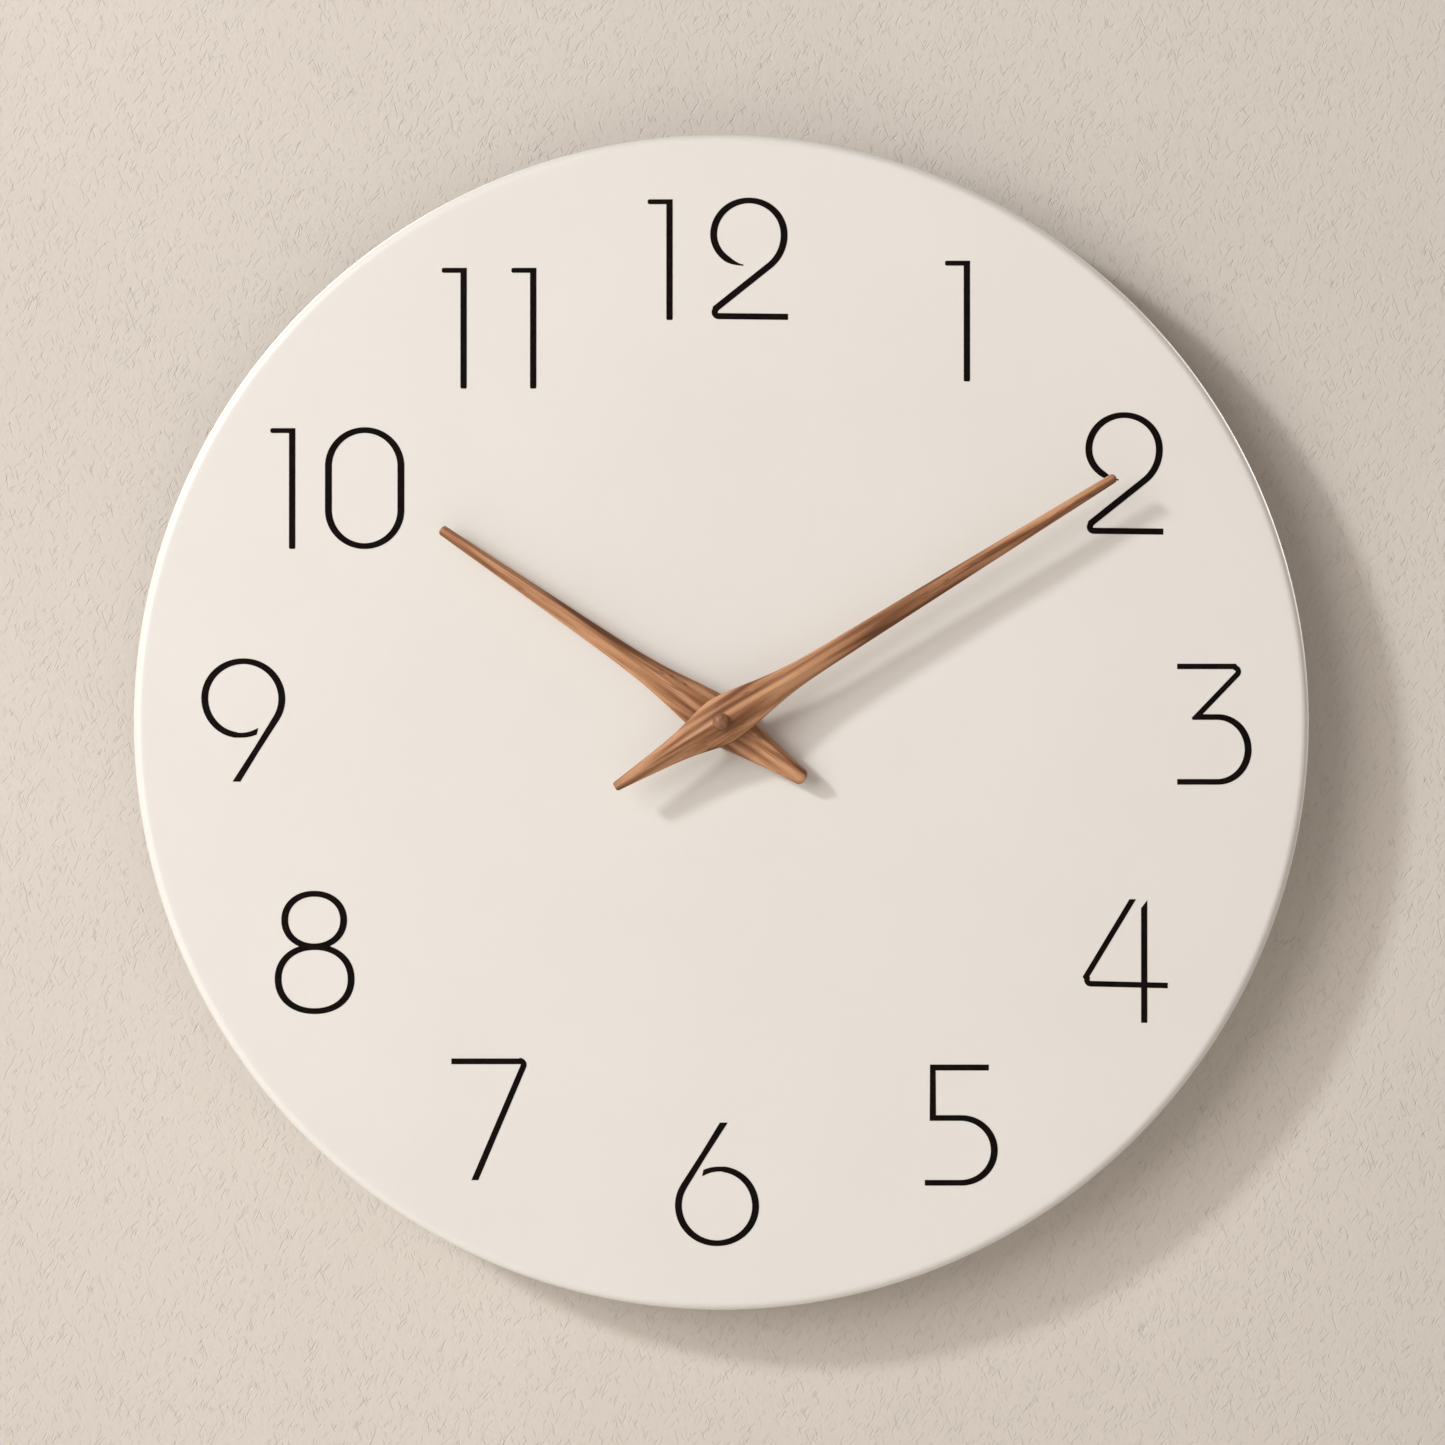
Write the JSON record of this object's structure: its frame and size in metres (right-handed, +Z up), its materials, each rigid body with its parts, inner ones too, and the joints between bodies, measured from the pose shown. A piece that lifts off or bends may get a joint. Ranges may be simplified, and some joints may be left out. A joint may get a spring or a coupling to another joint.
{
  "type": "wall clock",
  "caption": "Round frameless wall clock: white lacquered wooden disc, carved wooden hands, and a quartz movement with hanger on its back.",
  "frame": {"origin": "where the hand axis meets the wall, on the movement's rear face", "axes": "+Z up on the wall, +X to the right seen from the front, +Y into the wall along the hand axis"},
  "size_m": [0.3, 0.0384, 0.3],
  "materials": {
    "lacquer": "satin white lacquer on MDF",
    "wood": "hand-carved, oiled",
    "zinc_steel": "zinc plated",
    "iron": "bare soft iron",
    "brass": "bright",
    "rubber": "matte",
    "case_plastic": "fine matte texture",
    "plate_plastic": "moulded",
    "gear_plastic": "white acetal",
    "knob_plastic": "moulded",
    "board": "phenolic laminate",
    "resin": "cast resin",
    "copper": "enamelled copper wire",
    "magnet": "sintered ferrite",
    "cell_sleeve": null
  },
  "bodies": {
    "case": {"dial_disc": "lacquer", "hanger_plate": "zinc_steel", "rubber_washer": "rubber", "front_washer": "brass", "mounting_nut": "brass", "threaded_bush": "brass", "front_shell": "case_plastic", "middle_plate": "plate_plastic", "rear_cover": "case_plastic", "circuit_board": "board", "timer_chip": "resin", "quartz_crystal": "zinc_steel", "coil_core": "iron", "coil_bobbin": "plate_plastic", "coil_winding": "copper", "stator_plate": "iron", "battery_spring_contact": "zinc_steel", "battery_plate_contact": "zinc_steel"},
    "minute_train": {"minute_arbor": "gear_plastic", "minute_hand": "wood", "minute_hand_bushing": "brass", "hub_cap": "wood"},
    "hour_train": {"hour_wheel": "gear_plastic", "hour_hand": "wood", "hour_hand_bushing": "brass"},
    "minute_wheel": {"minute_wheel": "gear_plastic"},
    "setting_knob": {"setting_knob": "knob_plastic"},
    "second_wheel": {"second_wheel": "gear_plastic"},
    "centre_wheel": {"centre_wheel": "gear_plastic"},
    "third_wheel": {"third_wheel": "gear_plastic"},
    "intermediate_wheel": {"intermediate_wheel": "gear_plastic"},
    "rotor": {"rotor": "magnet"},
    "battery": {"battery_cell": "cell_sleeve"}
  },
  "joints": [
    {"name": "minute_spin", "type": "hinge", "parent": "case", "child": "minute_train", "pos_m": [0, 0, 0], "axis": [0, 1, 0], "continuous": true},
    {"name": "hour_spin", "type": "hinge", "parent": "case", "child": "hour_train", "pos_m": [0, 0, 0], "axis": [0, 1, 0], "continuous": true},
    {"name": "minute_wheel_spin", "type": "hinge", "parent": "case", "child": "minute_wheel", "pos_m": [0.00355, 0, -0.00761], "axis": [0, 1, 0], "continuous": true},
    {"name": "knob_spin", "type": "hinge", "parent": "case", "child": "setting_knob", "pos_m": [0.01299, 0, -0.00794], "axis": [0, 1, 0], "continuous": true},
    {"name": "second_wheel_spin", "type": "hinge", "parent": "case", "child": "second_wheel", "pos_m": [0, 0, 0], "axis": [0, 1, 0], "continuous": true},
    {"name": "centre_wheel_spin", "type": "hinge", "parent": "case", "child": "centre_wheel", "pos_m": [0, 0, 0], "axis": [0, 1, 0], "continuous": true},
    {"name": "third_wheel_spin", "type": "hinge", "parent": "case", "child": "third_wheel", "pos_m": [-0.009, 0, 0], "axis": [0, 1, 0], "continuous": true},
    {"name": "intermediate_wheel_spin", "type": "hinge", "parent": "case", "child": "intermediate_wheel", "pos_m": [0.00591, 0, 0.00104], "axis": [0, 1, 0], "continuous": true},
    {"name": "rotor_spin", "type": "hinge", "parent": "case", "child": "rotor", "pos_m": [0.00928, 0, 0.00506], "axis": [0, 1, 0], "continuous": true},
    {"name": "battery_slide", "type": "slide", "parent": "case", "child": "battery", "axis": [0, 1, 0], "range_m": [0, 0.02]}
  ],
  "couplings": [
    {"joint": "hour_spin", "follows": "minute_spin", "ratio": 0.083333},
    {"joint": "minute_wheel_spin", "follows": "minute_spin", "ratio": -0.33333},
    {"joint": "knob_spin", "follows": "minute_spin", "ratio": 0.66667},
    {"joint": "third_wheel_spin", "follows": "second_wheel_spin", "ratio": -0.13333},
    {"joint": "centre_wheel_spin", "follows": "second_wheel_spin", "ratio": 0.016667},
    {"joint": "intermediate_wheel_spin", "follows": "second_wheel_spin", "ratio": -5},
    {"joint": "rotor_spin", "follows": "second_wheel_spin", "ratio": 30}
  ]
}
